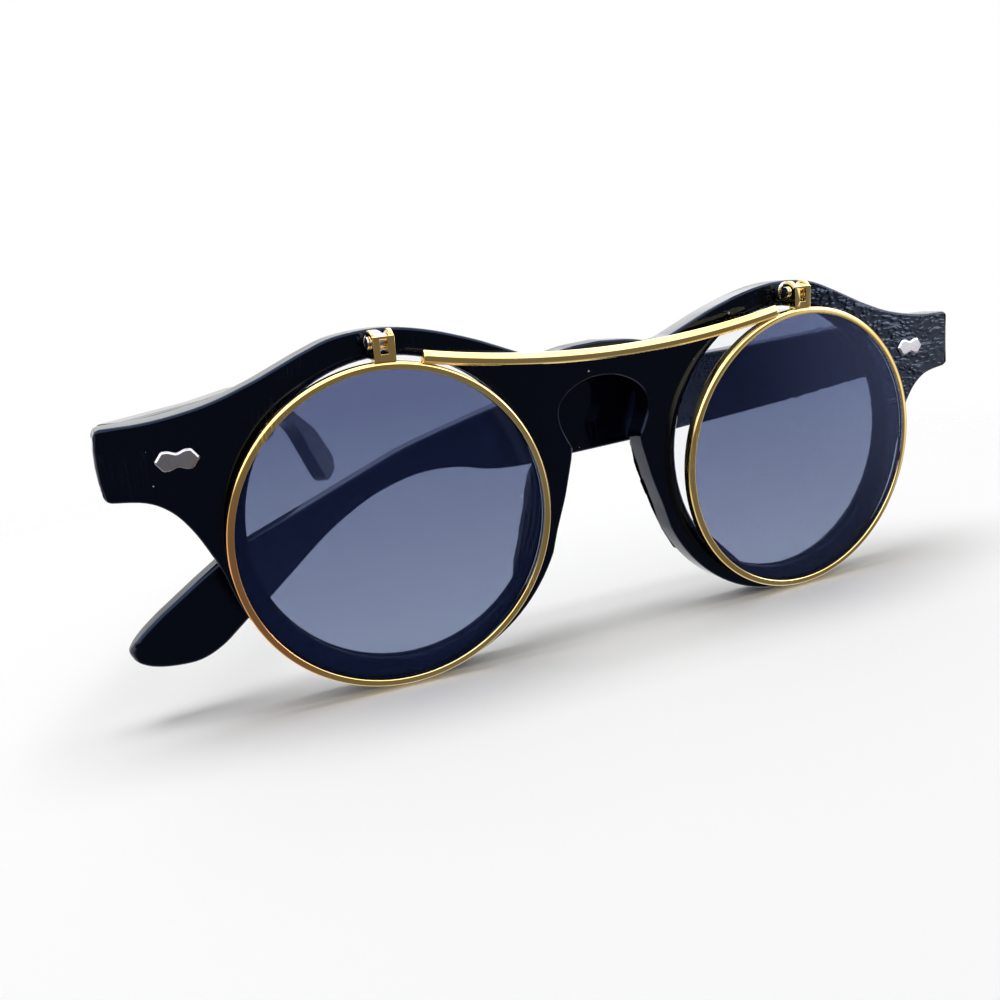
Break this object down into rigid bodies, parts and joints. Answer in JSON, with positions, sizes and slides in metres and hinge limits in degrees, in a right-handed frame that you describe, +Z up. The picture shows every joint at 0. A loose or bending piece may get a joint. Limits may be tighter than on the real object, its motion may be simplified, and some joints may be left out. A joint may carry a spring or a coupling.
{
  "type": "flip up sunglasses",
  "caption": "Round-eye glasses with a moulded front, clear lenses and folding temples, and a gold wire frame of tinted lenses that swings up on small hinges.",
  "frame": {"origin": "middle of the bridge on the front face, level with the centres of the eye openings", "axes": "+X to the right as seen from in front (the wearer's left), +Y from the front back towards the wearer, +Z up along the front"},
  "size_m": [0.1468, 0.1421, 0.0519],
  "materials": {
    "black_plastic": "polished glossy black acetate",
    "clear_lens": "clear polished lens",
    "tinted_lens": "polished violet grey tint",
    "gold": "polished gold plate",
    "silver": "polished nickel",
    "hinge_steel": "satin nickel silver"
  },
  "bodies": {
    "front": {"front_frame": "black_plastic", "clear_lens_left": "clear_lens", "clear_lens_right": "clear_lens", "rivet_plaque_left": "silver", "rivet_plaque_right": "silver", "flip_knuckle_left": "silver", "flip_knuckle_right": "silver", "front_hinge_leaf_left": "hinge_steel", "front_hinge_leaf_right": "hinge_steel", "hinge_screw_left": "hinge_steel", "hinge_screw_right": "hinge_steel"},
    "flip_frame": {"flip_rim_left": "gold", "flip_rim_right": "gold", "tinted_lens_left": "tinted_lens", "tinted_lens_right": "tinted_lens", "bridge_bar": "gold", "flip_bracket_left": "gold", "flip_bracket_right": "gold", "flip_pin_left": "silver", "flip_pin_right": "silver"},
    "temple_left": {"temple_left": "black_plastic", "temple_hinge_leaf_left": "hinge_steel"},
    "temple_right": {"temple_right": "black_plastic", "temple_hinge_leaf_right": "hinge_steel"}
  },
  "joints": [
    {"name": "flip_up", "type": "hinge", "parent": "front", "child": "flip_frame", "pos_m": [0, -0.0019, 0.0242], "axis": [-1, 0, 0], "range_deg": [0, 95]},
    {"name": "unfold_left", "type": "hinge", "parent": "front", "child": "temple_left", "pos_m": [-0.0674, 0.0078, 0.0123], "axis": [0, 0, 1], "range_deg": [-56, 24]},
    {"name": "unfold_right", "type": "hinge", "parent": "front", "child": "temple_right", "pos_m": [0.0674, 0.0078, 0.0123], "axis": [0, 0, -1], "range_deg": [0, 90]}
  ]
}
